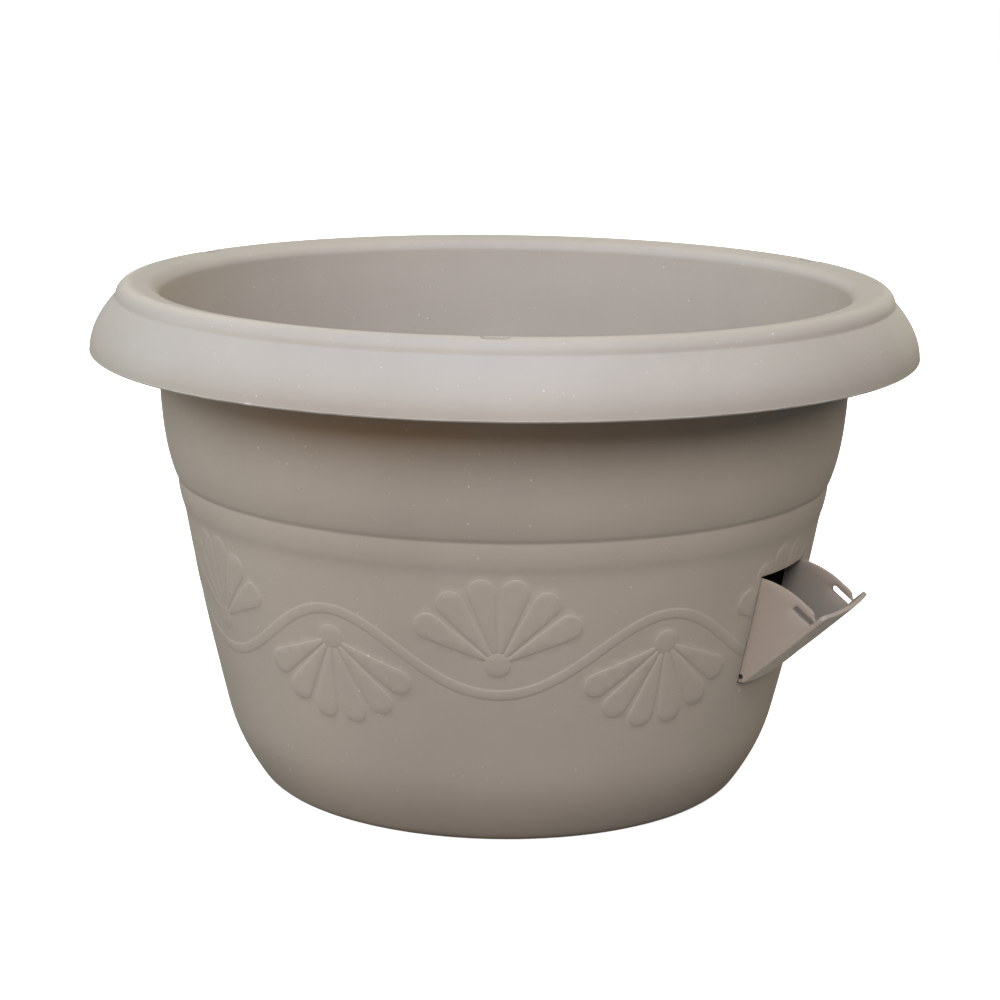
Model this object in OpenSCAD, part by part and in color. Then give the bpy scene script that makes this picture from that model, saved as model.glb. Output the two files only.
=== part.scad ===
// Self-watering hanging basket with a fold-out filler flap.
// Origin: centre of the base, on the resting plane. +Z is up, -Y is the front.
// Millimetres throughout.

/* [Bowl] */
// Outer diameter of the rolled rim
rim_d = 300; // [296:1:304]
// Thickness of the bowl wall
wall = 2.0; // [1.8:0.1:2.2]
// Thickness of the bowl floor
floor_t = 2.2; // [2:0.1:3]
// Height of the sharp crease under the shoulder
crease_z = 112.6; // [112:0.1:114]
// Height of the lower edge of the rim skirt
skirt_z = 158.5; // [157:0.5:160]
// Height of the crown of the rim
crown_z = 182.9; // [182:0.1:184]

/* [Hanger slots] */
// Number of slots for the hanger hooks
hanger_n = 3; // [3:1:4]
// Radius of the circle through the slots
hanger_r = 135.3; // [135:0.1:135.6]
// Length of each slot along the rim
hanger_len = 10; // [8:0.5:12]
// Width of each slot across the rim
hanger_w = 4.6; // [4:0.1:4.8]
// Turn of the slots about the bowl's axis
hanger_turn = -0.7; // [-2:0.1:2]

/* [Filler flap] */
// Angle by which the flap stands open
flap_open = 36; // [20:1:36]
// Half width of the opening in the wall
mouth_hw = 17.6; // [17.5:0.1:18]
// Height of the sill of the opening
sill_z = 51.5; // [51:0.1:51.6]
// Outer face of each cheek, from the middle of the flap
cheek_y = 17.2; // [17:0.1:17.3]
// Thickness of each cheek
cheek_t = 1.6; // [1.4:0.1:1.8]
// Thickness of the front panel
panel_t = 1.7; // [1.5:0.1:2]
// Gap between the wall and the back of the front panel
panel_gap = 1.1; // [0.8:0.1:1.2]
// Top edge of the front panel when it is shut
panel_top = 93; // [92:0.5:94]
// Reach of the thumb tab at the panel's top corner, from the middle of the flap
tab_y = 20.8; // [19:0.1:22]

/* [Hinge] */
// Distance of the hinge axis from the centre of the bowl
hinge_x = 107; // [106.8:0.1:107.2]
// Height of the hinge axis
hinge_z = 54; // [53.8:0.1:54.2]
// Radius of the hinge pins
pin_r = 0.9; // [0.8:0.05:0.9]
// Running clearance of the cheek on its pin
pin_play = 0.06; // [0.03:0.01:0.09]

/* [Insert] */
// Top face of the perforated plate
plate_z = 48.5; // [46:0.5:49]
// Thickness of the perforated plate
plate_t = 2.0; // [1.6:0.1:2.5]
// Diameter of the drain holes in the plate
drain_d = 3.4; // [2:0.1:4]
// Half width inside the filler guard
guard_hw = 21; // [20.5:0.1:22]
// Thickness of the guard walls
guard_t = 1.5; // [1.2:0.1:2]

/* [Wicks] */
// Width of each capillary wick
wick_w = 22; // [16:1:26]
// Thickness of each capillary wick
wick_t = 3; // [2:0.5:4]
// Distance of the wicks from the centre of the bowl
wick_r = 34; // [28:1:40]

/* [Hidden] */
$fn = 96;

taupe = [0.60, 0.555, 0.51];
taupe_light = [0.66, 0.61, 0.57];
charcoal = [0.20, 0.20, 0.20];
felt = [0.86, 0.85, 0.80];

flap_dir = -30;                // heading of the flap about the bowl's axis
cheek_in_y = cheek_y - cheek_t;
ear_y0 = 11.4;                 // inner face of each ear
ear_y1 = cheek_in_y - 0.2;     // outer face of each ear
ear_r = pin_r + 0.85;
pin_y0 = ear_y0 + 0.6;         // inner end of each pin
pin_y1 = cheek_y - 0.4;        // outer end of each pin

// ---- helpers ----
function steps(from, to, count) = [for (i = [0:count]) from + (to - from) * i / count];

// points on an ellipse: centre, half axes, first and last angle, number of steps
function arc(centre_x, centre_y, half_x, half_y, from, to, count) =
    [for (t = steps(from, to, count)) [centre_x + half_x * cos(t), centre_y + half_y * sin(t)]];

// interval from near to far, mirrored to the negative side when side is -1
function span(side, near, far) = side > 0 ? [near, far] : [-far, -near];

// turns local +X to the flap's heading
module at_flap() rotate([0, 0, flap_dir]) children();

module on_hinge() translate([hinge_x, 0, hinge_z]) children();

// outline in X and Z, extruded over an interval of Y
module plate_y(ys)
    translate([0, ys[1], 0]) rotate([90, 0, 0]) linear_extrude(ys[1] - ys[0]) children();

// cylinder on the hinge axis over an interval of Y
module axle(radius, ys)
    on_hinge() translate([0, ys[1], 0]) rotate([90, 0, 0]) cylinder(r = radius, h = ys[1] - ys[0]);

// ---- bowl profile, radius as a function of height ----
bead_z = 98.5;                 // where the side turns out towards the crease
flare_z = 150;                 // where the wall starts to flare to the rim
wall_top_z = 176;
skirt_r = rim_d / 2;
skirt_t = 2.1;
skirt_low = skirt_z + 0.6;     // top of the rounded lower edge
skirt_top = 177.6;

// tapering side, with a rounded foot
function taper(z) =
    let (foot = pow(max(0, 1 - z / 27), 2), edge = pow(max(0, 1 - z / 2.2), 2))
    94.93 + 0.269 * z - 0.0005 * z * z - 6.3 * foot - 0.83 * edge;
// two parabolas, meeting 4 above bead_z
function bead(z) =
    let (low = min(z - bead_z, 4), high = max(0, z - bead_z - 4))
    taper(bead_z) + 0.172 * low + 0.0185 * low * low + 0.32 * high - 0.01337 * high * high;
function shoulder(z) = 126 - 6.4 * exp(-(z - crease_z) / 15);
function outer(z) = z <= bead_z ? taper(z) : z <= crease_z ? bead(z) : shoulder(z);
function flare(z) = pow(max(0, (z - flare_z) / (wall_top_z - flare_z)), 2);
function inner(z) = outer(z) - wall + 1.3 * flare(z);
// parabola, widest at skirt_z
function skirt(z) = skirt_r - 0.0252 * pow(z - skirt_z, 2);

foot_zs = [0, 0.4, 0.9, 1.5, 2.2, 3.2, 4.6, 6.4, 8.6, 11.2, 14.2, 17.6, 21.4, 25.6];
outer_zs = concat(
    foot_zs,
    steps(30, bead_z, 13),
    [for (i = [1:7]) bead_z + (crease_z - bead_z) * i / 7],
    [for (i = [1:13]) crease_z + (wall_top_z - crease_z) * pow(i / 13, 1.35)]
);
inner_zs = concat(steps(174, crease_z, 9), steps(crease_z - 3, bead_z, 4), steps(92, 30, 11));

bowl_profile = concat(
    // underside: shallow recess inside a standing ring
    [[0, 1.2], [77, 1.2], [79, 0]],
    [for (z = outer_zs) [outer(z) + 1.2 * flare(z), z]],
    // underside of the crown
    arc(131.6, wall_top_z, 4.5, 4.1, 180, 95, 8),
    arc(135.1, 176.4, 3.75, 4.3, 90, 8, 8),
    // inner face, lower edge and outer face of the skirt
    [for (z = steps(wall_top_z, skirt_low, 10)) [skirt(z) - skirt_t, z]],
    arc(skirt_r - skirt_t / 2, skirt_z + 0.5, skirt_t / 2, 0.75, 205, 335, 6),
    [for (z = steps(skirt_low, skirt_top, 12)) [skirt(z), z]],
    // crown, highest near its outer side, and the roll into the bowl
    arc(135.5, skirt_top, 5.1, crown_z - skirt_top, 4, 90, 11),
    arc(130.6, 177.4, 5.5, crown_z - 178.3, 104, 176, 10),
    [for (z = inner_zs) [inner(z), z]],
    // inner face of the foot, rounded into the floor
    [for (i = [13:-1:6]) let (z = foot_zs[i]) [inner(z) - 0.25 * pow(1 - z / 30, 2), z]],
    [[inner(3.4) - 1.4, 3.2], [inner(2.6) - 3.2, floor_t + 0.2]],
    [[inner(2.4) - 6, floor_t], [0, floor_t]]
);

// solid of revolution between two offsets from the wall's outer face
module wall_band(near, far, z0, z1, count)
    rotate_extrude()
        polygon(concat([for (z = steps(z0, z1, count)) [outer(z) + far, z]],
                       [for (z = steps(z1, z0, count)) [outer(z) + near, z]]));

// ---- bowl ----
mouth_r = 37.45;               // head of the opening, swept about the hinge axis
pin_grip = 0.02;               // by which each bore is tighter than its pin
ear_web = [[102.9, 47], [105.9, 47], [105.9, 51], [106.2, 55.5], [104.4, 55.5]];  // x, z

// lugs that hold the pins, joined to the wall
module ears() for (side = [-1, 1]) {
    ys = span(side, ear_y0, ear_y1);
    axle(ear_r, ys);
    plate_y(ys) polygon(ear_web);
}

// filler opening, leaving the ears standing in its lower corners
module mouth() difference() {
    intersection() {
        translate([90, -mouth_hw, sill_z]) cube([40, 2 * mouth_hw, 60]);
        axle(mouth_r, [-30, 30]);
    }
    ears();
}

module hanger_slot(depth = 14) {
    cube([hanger_len - hanger_w, hanger_w, depth], center = true);
    for (side = [-1, 1])
        translate([side * (hanger_len - hanger_w) / 2, 0, 0])
            cylinder(d = hanger_w, h = depth, center = true);
}

module pot_shell() color(taupe) difference() {
    union() {
        rotate_extrude() polygon(bowl_profile);
        at_flap() ears();
    }
    at_flap() mouth();
    // blind bores for the pins
    at_flap() for (side = [-1, 1]) axle(pin_r - pin_grip, span(side, pin_y0, ear_y1 + 0.1));
    // slots through the crown, the first at the front
    for (i = [0:hanger_n - 1])
        rotate([0, 0, hanger_turn - 90 + 360 * i / hanger_n])
            translate([hanger_r, 0, 182]) rotate([0, 0, 90]) hanger_slot();
}

// ---- flap, drawn shut and then turned about its hinge ----
reach = 37.0;                  // nominal radius of the cheeks about the hinge axis
knuckle_r = 2.2;               // rounding of the cheeks behind the hinge
snap_slot = [107.3, 87.8];     // x, z of the slot's round end
snap_slot_r = 1.1;
panel_hw = cheek_y + 0.15;
tab_round = 1.2;
panel_round = 2;
rib_w = 3.0;
rib_y = cheek_y - 0.9;         // inner face of each stop rib

// radius of a cheek's top edge at an angle from the vertical:
// a soft hump next to the panel snaps behind the head of the opening
function cheek_reach(angle) = reach - 0.4
    + 0.5 * min(1, max(0, (angle + 28) / 22))
    + (angle > 2.5 && angle < 10.2 ? 0.25 * sin((angle - 2.5) / 7.7 * 180) : 0)
    - (angle > 10.6 ? 0.9 : 0);

// a point of the open flap, turned back to where it lies when shut
function shut(point) =
    let (x = point[0] - hinge_x, z = point[1] - hinge_z)
    [hinge_x + x * cos(flap_open) - z * sin(flap_open),
     hinge_z + x * sin(flap_open) + z * cos(flap_open)];

// x, z
cheek_outline = concat(
    [[hinge_x + 6, hinge_z + 3], [hinge_x + knuckle_r, hinge_z - 0.8]],
    arc(hinge_x, hinge_z, knuckle_r, knuckle_r, -30, -150, 8),
    // rear edge, a little behind the wall while the flap is open
    [shut([102.2, hinge_z + 1.5]), shut([hinge_x + 1.5, hinge_z + reach - 0.8])],
    [for (a = steps(-32, 17, 49))
        [hinge_x + cheek_reach(a) * sin(a), hinge_z + cheek_reach(a) * cos(a)]]
);

// y, z of the front panel seen along the bowl's radius: straight sides,
// and a thumb tab at the top corner away from the front slot
panel_outline = concat(
    [[-panel_hw, hinge_z - 1.3], [panel_hw, hinge_z - 1.3], [panel_hw, panel_top - 12]],
    arc(tab_y - tab_round, panel_top - tab_round, tab_round, tab_round, -20, 90, 6),
    arc(-panel_hw + panel_round, panel_top - panel_round, panel_round, panel_round, 90, 180, 6)
);

module front_panel() intersection() {
    wall_band(panel_gap, panel_gap + panel_t, hinge_z - 4, panel_top + 2, 14);
    translate([95, 0, 0]) rotate([90, 0, 90]) linear_extrude(40) polygon(panel_outline);
}

module cheek(side) intersection() {
    plate_y(span(side, cheek_in_y, cheek_y)) difference() {
        polygon(cheek_outline);
        // slot that frees the snap hump
        translate(snap_slot) circle(r = snap_slot_r, $fn = 32);
        translate(snap_slot - [0, snap_slot_r]) square([10, 2 * snap_slot_r]);
    }
    wall_band(-60, panel_gap + 0.5, hinge_z - 7, 97, 9);
}

// meets the inside of the wall when the flap is fully open
module stop_rib(side) intersection() {
    wall_band(-wall - 2.4, -wall - 0.06, 66, 84, 5);
    translate([95, span(side, rib_y, rib_y + rib_w)[0], 60]) cube([30, rib_w, 30]);
}

module filler_flap() color(taupe_light) at_flap() difference() {
    union() {
        on_hinge() rotate([0, flap_open, 0]) translate([-hinge_x, 0, -hinge_z]) {
            front_panel();
            for (side = [-1, 1]) cheek(side);
        }
        for (side = [-1, 1]) stop_rib(side);
    }
    axle(pin_r + pin_play, [-30, 30]);
    // room for the ears
    for (side = [-1, 1]) axle(ear_r + 0.25, span(side, ear_y0 - 0.3, cheek_in_y + 0.15));
}

// ---- hinge pins ----
module hinge_pin(side) at_flap() axle(pin_r, span(side, pin_y0, pin_y1));
module hinge_pin_left() color(charcoal) hinge_pin(-1);
module hinge_pin_right() color(charcoal) hinge_pin(1);

// ---- insert that divides the reservoir from the soil ----
plate_low = plate_z - plate_t;
plate_play = 0.6;              // between the plate's edge and the wall
leg_ring_r = 62;
leg_r = [7, 9];                // outer radius at foot and top
leg_wall = 1.6;
leg_gap = 0.05;                // under each leg
ring_r = 84;
slot_play = 0.8;               // in the wick slots
guard_x = 84;                  // rear face of the filler guard
clip_y = 12;
clip_w = 6;
drain_rings = [[16, 6], [46, 14], [78, 24]];  // radius, number of places

// the middle ring skips places near the X axis,
// and the outer ring skips those by the filler well
function drilled(ring, angle) =
    !(ring == 2 && abs(angle - (360 + flap_dir)) < 20) && !(ring == 1 && abs(sin(angle)) < 0.3);

module at_legs() for (a = [15:60:359]) rotate([0, 0, a]) translate([leg_ring_r, 0, 0]) children();

module leg_hollow() {
    translate([0, 0, floor_t + leg_wall])
        cylinder(r1 = leg_r[0] - leg_wall, r2 = leg_r[1] - leg_wall, h = plate_z - floor_t);
    // water ports at the foot of the leg
    for (a = [0, 90])
        rotate([0, 0, a]) translate([-10, -1.2, floor_t + leg_wall]) cube([20, 2.4, 8]);
}

module drain_holes()
    for (ring = [0:len(drain_rings) - 1])
        let (radius = drain_rings[ring][0], count = drain_rings[ring][1])
            for (i = [0:count - 1])
                let (angle = 360 * (i + 0.5) / count)
                    if (drilled(ring, angle))
                        rotate([0, 0, angle]) translate([radius, 0, plate_low - 1])
                            cylinder(d = drain_d, h = plate_t + 2, $fn = 24);

module reservoir_plate() color(charcoal) difference() {
    union() {
        translate([0, 0, plate_low])
            cylinder(r1 = inner(plate_low) - plate_play, r2 = inner(plate_z) - plate_play,
                     h = plate_t);
        // stiffening ring
        rotate_extrude() translate([ring_r, plate_low - 5]) square([1.6, 5.5]);
        // hollow legs standing on the floor of the bowl
        at_legs() translate([0, 0, floor_t + leg_gap])
            cylinder(r1 = leg_r[0], r2 = leg_r[1], h = plate_z - floor_t - 2 * leg_gap);
    }
    at_legs() leg_hollow();
    // well under the filler opening
    at_flap() translate([guard_x + guard_t, -guard_hw, plate_low - 8])
        cube([40, 2 * guard_hw, 20]);
    // sockets for the guard's clips
    at_flap() for (side = [-1, 1])
        translate([guard_x - 0.2, side * clip_y - clip_w / 2 - 0.3, plate_low - 1])
            cube([guard_t + 0.4, clip_w + 0.6, 5]);
    // wick slots
    for (side = [-1, 1])
        translate([side * wick_r, 0, plate_z - plate_t / 2])
            cube([wick_t + slot_play, wick_w + slot_play, plate_t + 2], center = true);
    drain_holes();
}

// ---- shield that keeps soil off the cheeks ----
// x, z of the shield's side view
guard_outside = [[guard_x, plate_z + 0.05], [guard_x, 89.5], [118, 99], [118, plate_z + 0.05]];
guard_inside = [[guard_x + guard_t, plate_z - 5], [guard_x + guard_t, 88.3],
                [120, 97.9], [120, plate_z - 5]];

module filler_guard() color(charcoal) at_flap() {
    intersection() {
        difference() {
            plate_y([-guard_hw - guard_t, guard_hw + guard_t]) polygon(guard_outside);
            plate_y([-guard_hw, guard_hw]) polygon(guard_inside);
        }
        // space inside the bowl wall
        rotate_extrude()
            polygon(concat([[0, 40]], [for (z = steps(40, 104, 12)) [inner(z) - 0.5, z]],
                           [[0, 104]]));
    }
    // clips pushed through the plate
    for (side = [-1, 1])
        translate([guard_x, side * clip_y - clip_w / 2, plate_low - 0.6])
            cube([guard_t, clip_w, plate_t + 3]);
}

// ---- capillary wicks ----
wick_h = 66;
wick_z = floor_t + 0.3;
tail_len = 20;                 // beyond the upright part, towards the bowl's axis
tail_lap = 0.5;                // overlap with the upright part

module wick(side) translate([side * wick_r, 0, 0]) {
    tail = span(-side, wick_t / 2 - tail_lap, wick_t / 2 + tail_len);
    translate([-wick_t / 2, -wick_w / 2, wick_z]) cube([wick_t, wick_w, wick_h]);
    translate([tail[0], -wick_w / 2, wick_z]) cube([tail_len + tail_lap, wick_w, wick_t]);
}
module capillary_wick_left() color(felt) wick(-1);
module capillary_wick_right() color(felt) wick(1);

pot_shell();
filler_flap();
hinge_pin_left();
hinge_pin_right();
reservoir_plate();
filler_guard();
capillary_wick_left();
capillary_wick_right();
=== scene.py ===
# A round plant bowl with a moulded pattern, a folded-down rim with hanger slots, two felt wicks
# and a filler flap that stands open. It rests on z = 0 about the Z axis, with its front to -Y.
# The flap is 60 degrees round from the front towards +X.
# Lengths of the parts are in mm; lengths of the floor, lights and camera are in metres.
import bpy, bmesh, math
import numpy as np
from mathutils import Vector, Matrix, geometry


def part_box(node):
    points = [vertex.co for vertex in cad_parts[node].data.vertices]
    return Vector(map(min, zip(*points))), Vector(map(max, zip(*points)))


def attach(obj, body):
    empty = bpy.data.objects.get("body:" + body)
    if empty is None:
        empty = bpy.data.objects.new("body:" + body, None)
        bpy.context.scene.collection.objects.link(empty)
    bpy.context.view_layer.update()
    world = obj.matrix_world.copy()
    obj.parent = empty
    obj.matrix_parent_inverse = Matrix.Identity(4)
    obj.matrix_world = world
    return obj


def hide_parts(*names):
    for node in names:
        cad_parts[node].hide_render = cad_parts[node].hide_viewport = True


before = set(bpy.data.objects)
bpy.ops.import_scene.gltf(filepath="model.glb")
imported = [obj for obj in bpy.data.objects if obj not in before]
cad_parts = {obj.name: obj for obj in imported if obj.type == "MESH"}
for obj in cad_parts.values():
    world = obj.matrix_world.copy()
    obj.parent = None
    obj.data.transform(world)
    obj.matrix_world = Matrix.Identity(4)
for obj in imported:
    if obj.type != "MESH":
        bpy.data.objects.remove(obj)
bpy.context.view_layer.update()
MM = 0.001

# ---------------------------------------------------------------- driving dimensions
BEAD_Z, CREASE_Z = 98.5, 112.6             # the wall's bead, and the crease above it
FILLET_Z0, FILLET_Z1 = 112.35, 114.4       # fillet between bead and shoulder
SKIRT_Z, SKIRT_R, SKIRT_TOP = 158.5, 150.0, 177.6   # outer face of the rim
CROWN_R, CROWN_ROUND, CROWN_Z = 135.5, 5.1, 182.9   # highest line of the rim
WALL, FLOOR_TOP = 2.0, 2.2

FLAP_PHI = 60                              # degrees from the front towards +X
HINGE_X, HINGE_Z, OPEN_ANGLE = 107.0, 54.0, 36.0    # hinge line, read with +X through the flap
HEADING = math.radians(FLAP_PHI - 90)

OPENING_HALF, OPENING_SILL, OPENING_HEAD = 17.6, 51.5, 90.7
OPENING_ARC = 37.45                        # radius of the opening's head about the hinge
FLAP_GAP = 1.1                             # from the wall to the back of the shut flap


# ---------------------------------------------------------------- profile of the bowl
def side(z):
    return (94.93 + 0.269 * z - 0.0005 * z * z - 6.3 * np.maximum(0, 1 - z / 27) ** 2
            - 0.83 * np.maximum(0, 1 - z / 2.2) ** 2)


def bead(z):
    start = side(BEAD_Z)
    low = np.clip(z - BEAD_Z, 0, 4.0)
    high = np.maximum(z - BEAD_Z - 4.0, 0)
    return start + 0.172 * low + 0.0185 * low * low + 0.32 * high - 0.01337 * high * high


def shoulder(z):
    return 126 - 6.4 * np.exp(-(z - CREASE_Z) / 15)


def outer(z):
    """Radius of the outer wall at height z."""
    z = np.asarray(z, float)
    radius = np.where(z <= BEAD_Z, side(z),
                      np.where(z <= CREASE_Z, bead(z), shoulder(np.maximum(z, CREASE_Z))))
    # the fillet is a cubic with its own slope at each end
    t = np.clip((z - FILLET_Z0) / (FILLET_Z1 - FILLET_Z0), 0, 1)
    r0, r1 = bead(FILLET_Z0), shoulder(FILLET_Z1)
    rise = FILLET_Z1 - FILLET_Z0
    fillet = ((2 * t ** 3 - 3 * t ** 2 + 1) * r0 + (t ** 3 - 2 * t ** 2 + t) * rise * 0.06
              + (3 * t ** 2 - 2 * t ** 3) * r1 + (t ** 3 - t ** 2) * rise * 0.39)
    return np.where((z > FILLET_Z0) & (z < FILLET_Z1), fillet, radius)


def inner(z):
    z = np.asarray(z, float)
    return outer(z) - WALL + 1.3 * np.maximum(0, (z - 150) / 26) ** 2


def skirt(z):
    return SKIRT_R - 0.0252 * (z - SKIRT_Z) ** 2


def crown(radius):
    """Top of the rim: round outside its highest line, easing into a gentle fall inside it."""
    if radius > CROWN_R:
        across = (radius - CROWN_R) / CROWN_ROUND
        return SKIRT_TOP + (CROWN_Z - SKIRT_TOP) * math.sqrt(1 - across ** 2)
    x = CROWN_R - radius
    return CROWN_Z - 0.1946 * (x * x / 3.6 if x < 1.8 else x - 0.9)


def arc(centre_x, centre_z, half_x, half_z, start, end, count):
    """Points on an ellipse between two angles in degrees."""
    return [(centre_x + half_x * math.cos(math.radians(t)),
             centre_z + half_z * math.sin(math.radians(t)))
            for t in np.linspace(start, end, count)]


# ---------------------------------------------------------------- raised pattern
# Fans of petals, upright and upside down by turns, with a wavy ribbon between them.
FANS = 6
PITCH = 360 / FANS                         # degrees between upright fans
UP_Z, DOWN_Z = 69.5, 74.6                  # centres of the upright and inverted fans
PETALS = (-60, -36, -12, 12, 36, 60)       # directions of the petals, in degrees
PETAL_START, PETAL_END = 5.0, 27.3         # centres of a petal's two round ends
START_R, END_R = 0.75, 4.5                 # radii of those ends
PETAL_LENGTH = PETAL_END - PETAL_START
TAPER_SIN = (START_R - END_R) / PETAL_LENGTH
TAPER_COS = math.sqrt(1 - TAPER_SIN * TAPER_SIN)
DISC_R = 4.3
SLANT = 0.98                               # height gained per mm along the wall
PAD_RISE = 0.15
EDGE_OUT, EDGE_IN = 0.17, -0.17            # the slope at the edge of a pad
EDGE_LEVELS = (EDGE_OUT, 0.06, -0.06, EDGE_IN)
WAVE_Z, WAVE_SWING, WAVE_SHARPEN = 70.85, 13.1, 0.75
RIBBON_HALF = 1.95
RIBBON_LINES = (-2.3, -1.95, -1.62, -1.25, 0.0, 1.25, 1.62, 1.95, 2.3)
DIP = 0.055                                # soft dip under the bead


def wave_z(phi):
    return (WAVE_Z - WAVE_SWING * np.cos(np.radians(FANS * phi))
            + WAVE_SHARPEN * np.cos(np.radians(2 * FANS * phi)))


def wave_slope(phi):
    """Rise of the ribbon over arc length, on a wall of radius 111."""
    rise = (WAVE_SWING * FANS * np.sin(np.radians(FANS * phi))
            - WAVE_SHARPEN * 2 * FANS * np.sin(np.radians(2 * FANS * phi)))
    return rise / 111.0


def fan_distance(x, y):
    """Signed distance to the edge of one fan, negative inside it."""
    best = np.hypot(x, y) - DISC_R
    for direction in PETALS:
        sine, cosine = math.sin(math.radians(direction)), math.cos(math.radians(direction))
        along, across = x * sine + y * cosine - PETAL_START, np.abs(x * cosine - y * sine)
        place = -TAPER_SIN * across + along * TAPER_COS
        petal = np.where(
            place < 0, np.hypot(across, along) - START_R,
            np.where(place > TAPER_COS * PETAL_LENGTH,
                     np.hypot(across, along - PETAL_LENGTH) - END_R,
                     TAPER_COS * across + TAPER_SIN * along - START_R))
        best = np.minimum(best, petal)
    return best


def fan_distances(phi, z):
    """Distances to the nearest upright and the nearest inverted fan."""
    radius = outer(z)
    from_up = phi - PITCH * np.round(phi / PITCH)
    from_down = phi - PITCH * (np.floor(phi / PITCH) + 0.5)
    return (fan_distance(np.radians(from_up) * radius, (z - UP_Z) / SLANT),
            fan_distance(np.radians(from_down) * radius, -(z - DOWN_Z) / SLANT))


def step(t):
    t = np.clip(t, 0, 1)
    return t * t * (3 - 2 * t)


def relief(phi, z):
    """Height of the pattern above the wall; phi in degrees from the front, towards +X."""
    phi = np.asarray(phi, float)
    z = np.asarray(z, float)
    distance = np.minimum(*fan_distances(phi, z))
    # the mould parts to the front and the back, so the pattern is shallower on the flanks
    flank = step((90 - np.abs(90 - np.abs((phi + 180) % 360 - 180)) - 45) / 25)
    pads = (PAD_RISE * (1 - 0.6 * flank)
            * step((EDGE_OUT - distance) / (EDGE_OUT - EDGE_IN)))
    off_centre = np.abs(z - wave_z(phi)) / np.sqrt(1 + wave_slope(phi) ** 2) / SLANT
    t = np.clip(off_centre / RIBBON_HALF, 0, 1)
    ribbon = (1 - 0.3 * flank) * (0.18 * (1 - t ** 7) + 0.04 * (1 - t * t))
    return np.maximum(pads, ribbon)


def petal_outline(grow):
    """Outline of an upright petal grown by a margin, starting on its right side."""
    lean = math.atan2(TAPER_SIN, TAPER_COS)
    start_r, end_r = START_R + grow, END_R + grow
    side_length = TAPER_COS * PETAL_LENGTH
    points = []
    for s in np.linspace(0, side_length, 11)[:-1]:
        points.append((TAPER_COS * start_r - TAPER_SIN * s,
                       TAPER_SIN * start_r + TAPER_COS * s + PETAL_START))
    for t in np.linspace(lean, math.pi - lean, 19)[:-1]:
        points.append((end_r * math.cos(t), PETAL_END + end_r * math.sin(t)))
    for s in np.linspace(side_length, 0, 11)[:-1]:
        points.append((-TAPER_COS * start_r + TAPER_SIN * s,
                       TAPER_SIN * start_r + TAPER_COS * s + PETAL_START))
    for t in np.linspace(math.pi - lean, 2 * math.pi + lean, 6)[:-1]:
        points.append((start_r * math.cos(t), PETAL_START + start_r * math.sin(t)))
    return points


def pattern_lines(lo, hi):
    """Polylines of (phi, z) along the pattern's edges, for phi from lo to hi.
    Closed ones repeat their first point."""
    lines = []
    half_pitch = PITCH / 2
    reach = 17                             # degrees from a fan's centre to clear of its edge
    for k in range(int(math.floor(lo / half_pitch)) - 1, int(math.ceil(hi / half_pitch)) + 2):
        centre = half_pitch * k
        if centre + reach < lo or centre - reach > hi:
            continue
        centre_z, sign = (UP_Z, 1) if k % 2 == 0 else (DOWN_Z, -1)

        def on_wall(x, y):
            z = centre_z + sign * y * SLANT
            return (centre + math.degrees(x / float(outer(z))), z)

        for level in EDGE_LEVELS:
            radius = DISC_R + level
            lines.append([on_wall(radius * math.cos(t), radius * math.sin(t))
                          for t in np.linspace(0, 2 * math.pi, 25)])
            for direction in PETALS:
                sine, cosine = math.sin(math.radians(direction)), math.cos(math.radians(direction))
                points = [on_wall(x * cosine + y * sine, -x * sine + y * cosine)
                          for x, y in petal_outline(level)]
                lines.append(points + points[:1])
    spacing = 0.75
    phi = np.arange(math.ceil(lo / spacing) * spacing, hi + 1e-9, spacing)
    for offset in RIBBON_LINES:
        slope = wave_slope(phi)
        length = np.sqrt(1 + slope * slope)
        z = wave_z(phi) + offset * SLANT / length
        lines.append(list(zip(phi - np.degrees(offset * slope / length / outer(z)), z)))
    return lines


# ---------------------------------------------------------------- mesh helpers
def bridge(first, second, count):
    """Quads between two closed rings of vertices."""
    return [(first + i, first + (i + 1) % count, second + (i + 1) % count, second + i)
            for i in range(count)]


def fan(first, centre, count):
    """Triangles from a closed ring to a centre."""
    return [(first + i, first + (i + 1) % count, centre) for i in range(count)]


def add_loft(verts, faces, rings):
    """Joins rings of points into a tube whose ends are closed with fans."""
    before = None
    for ring in rings:
        start, count = len(verts), len(ring)
        verts += [tuple(point) for point in ring]
        if before is None:
            verts.append(tuple(np.mean(ring, 0)))
            faces += fan(start, start + count, count)
        else:
            faces += bridge(before, start, count)
        before = start
    verts.append(tuple(np.mean(ring, 0)))
    faces += fan(before, len(verts) - 1, count)


def make(name, verts, faces, weld=2e-7):
    """An object from points in mm, welded (distance in metres), with its faces outwards."""
    mesh = bpy.data.meshes.new(name)
    mesh.from_pydata([tuple(v) for v in np.array(verts) * MM], [], [tuple(f) for f in faces])
    bm = bmesh.new()
    bm.from_mesh(mesh)
    bmesh.ops.remove_doubles(bm, verts=bm.verts, dist=weld)
    bmesh.ops.dissolve_degenerate(bm, dist=weld, edges=bm.edges)
    bmesh.ops.recalc_face_normals(bm, faces=bm.faces)
    if bm.calc_volume(signed=True) < 0:
        bmesh.ops.reverse_faces(bm, faces=bm.faces)
    bm.to_mesh(mesh)
    bm.free()
    part = bpy.data.objects.new(name, mesh)
    bpy.context.scene.collection.objects.link(part)
    return part


def boolean(part, other, operation):
    """Applies a boolean to the part and removes the other object."""
    modifier = part.modifiers.new("cut", "BOOLEAN")
    modifier.operation = operation
    modifier.object = other
    modifier.solver = "MANIFOLD"
    graph = bpy.context.evaluated_depsgraph_get()
    mesh = bpy.data.meshes.new_from_object(part.evaluated_get(graph), depsgraph=graph)
    old = part.data
    part.modifiers.clear()
    part.data = mesh
    bpy.data.meshes.remove(old)
    bpy.data.objects.remove(other, do_unlink=True)


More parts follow.
